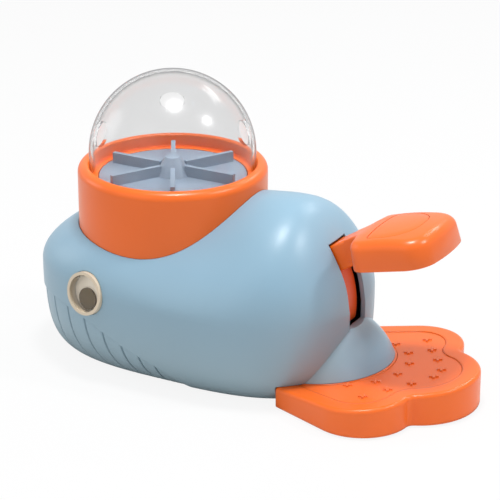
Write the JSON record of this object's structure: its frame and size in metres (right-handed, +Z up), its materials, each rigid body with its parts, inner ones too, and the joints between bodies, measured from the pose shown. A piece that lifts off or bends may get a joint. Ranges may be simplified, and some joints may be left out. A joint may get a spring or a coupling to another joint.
{
  "type": "treat dispensing toy",
  "caption": "Whale-shaped treat dispenser for pets: pressing the tail paddle turns the feed plate under a clear dome with outlet holes.",
  "frame": {"origin": "on the floor, under the middle of the toy's length and width", "axes": "+X from the whale's head to its tail, +Y to the whale's right side, +Z up"},
  "size_m": [0.258, 0.1304, 0.1615],
  "materials": {
    "body_blue": "smooth, soft gloss",
    "shell_orange": "smooth, soft gloss",
    "arm_orange": "smooth, slightly darker orange",
    "clear_dome": "clear plastic, polished",
    "floor_grey": "satin moulded",
    "gear_white": "natural acetal, satin",
    "frame_grey": "satin moulded",
    "steel": "bright drawn steel",
    "rubber_grey": "soft, matte",
    "eye_cream": "smooth",
    "pupil_brown": "smooth"
  },
  "bodies": {
    "body": {"upper_shell": "body_blue", "chin_shell": "body_blue", "base_plate": "body_blue", "body_feet": "rubber_grey", "base_screws": "steel", "foot_fluke": "shell_orange", "foot_panel": "shell_orange", "foot_underside": "shell_orange", "foot_pads": "rubber_grey", "foot_screws": "steel", "collar": "shell_orange", "collar_screws": "steel", "feed_tray": "floor_grey", "spindle_bush_upper": "gear_white", "spindle_bush_lower": "gear_white", "bearing_bridge": "frame_grey", "bridge_screws": "steel", "gear_frame_left": "frame_grey", "gear_frame_right": "frame_grey", "lay_bush_left": "gear_white", "lay_bush_right": "gear_white", "pivot_pin": "steel", "pin_clips": "steel", "return_spring": "steel", "eye_bezel_left": "body_blue", "eye_bezel_right": "body_blue", "eye_dish_left": "eye_cream", "eye_dish_right": "eye_cream", "eye_lens_left": "clear_dome", "eye_lens_right": "clear_dome"},
    "lever": {"lever_arm": "arm_orange", "drive_sector": "gear_white", "sector_spacer": "gear_white", "neck_pin": "steel", "paddle": "shell_orange", "paddle_panel": "shell_orange", "paddle_base": "shell_orange"},
    "lay": {"lay_shaft": "steel", "lay_bevel_gear": "gear_white", "lay_pinion": "gear_white"},
    "feed": {"turntable": "floor_grey", "spindle": "steel", "spindle_gear": "gear_white"},
    "dome": {"dome": "clear_dome"},
    "pupil_left": {"pupil_left": "pupil_brown"},
    "pupil_right": {"pupil_right": "pupil_brown"}
  },
  "joints": [
    {"name": "lever_hinge", "type": "hinge", "parent": "body", "child": "lever", "pos_m": [0, 0, 0.045], "axis": [0, 1, 0], "range_deg": [0, 30], "stiffness_Nm_per_rad": 0.25, "springref_deg": -17.19, "deforming": ["return_spring"]},
    {"name": "lay_spin", "type": "hinge", "parent": "body", "child": "lay", "pos_m": [-0.055, 0, 0.045], "axis": [0, -1, 0], "range_deg": [0, 207]},
    {"name": "feed_spin", "type": "hinge", "parent": "body", "child": "feed", "pos_m": [-0.055, 0, 0.1], "axis": [0, 0, -1], "range_deg": [0, 310]},
    {"name": "dome_lift", "type": "slide", "parent": "body", "child": "dome", "axis": [0, 0, 1], "range_m": [0, 0.05]},
    {"name": "pupil_left_swing", "type": "hinge", "parent": "body", "child": "pupil_left", "pos_m": [-0.075, -0.06126, 0.05], "axis": [-0.1802, -0.9763, 0.1202], "continuous": true},
    {"name": "pupil_right_swing", "type": "hinge", "parent": "body", "child": "pupil_right", "pos_m": [-0.075, 0.06126, 0.05], "axis": [-0.1802, 0.9763, 0.1202], "continuous": true}
  ],
  "couplings": [
    {"joint": "lay_spin", "follows": "lever_hinge", "ratio": 6.8571},
    {"joint": "feed_spin", "follows": "lever_hinge", "ratio": 10.286}
  ]
}
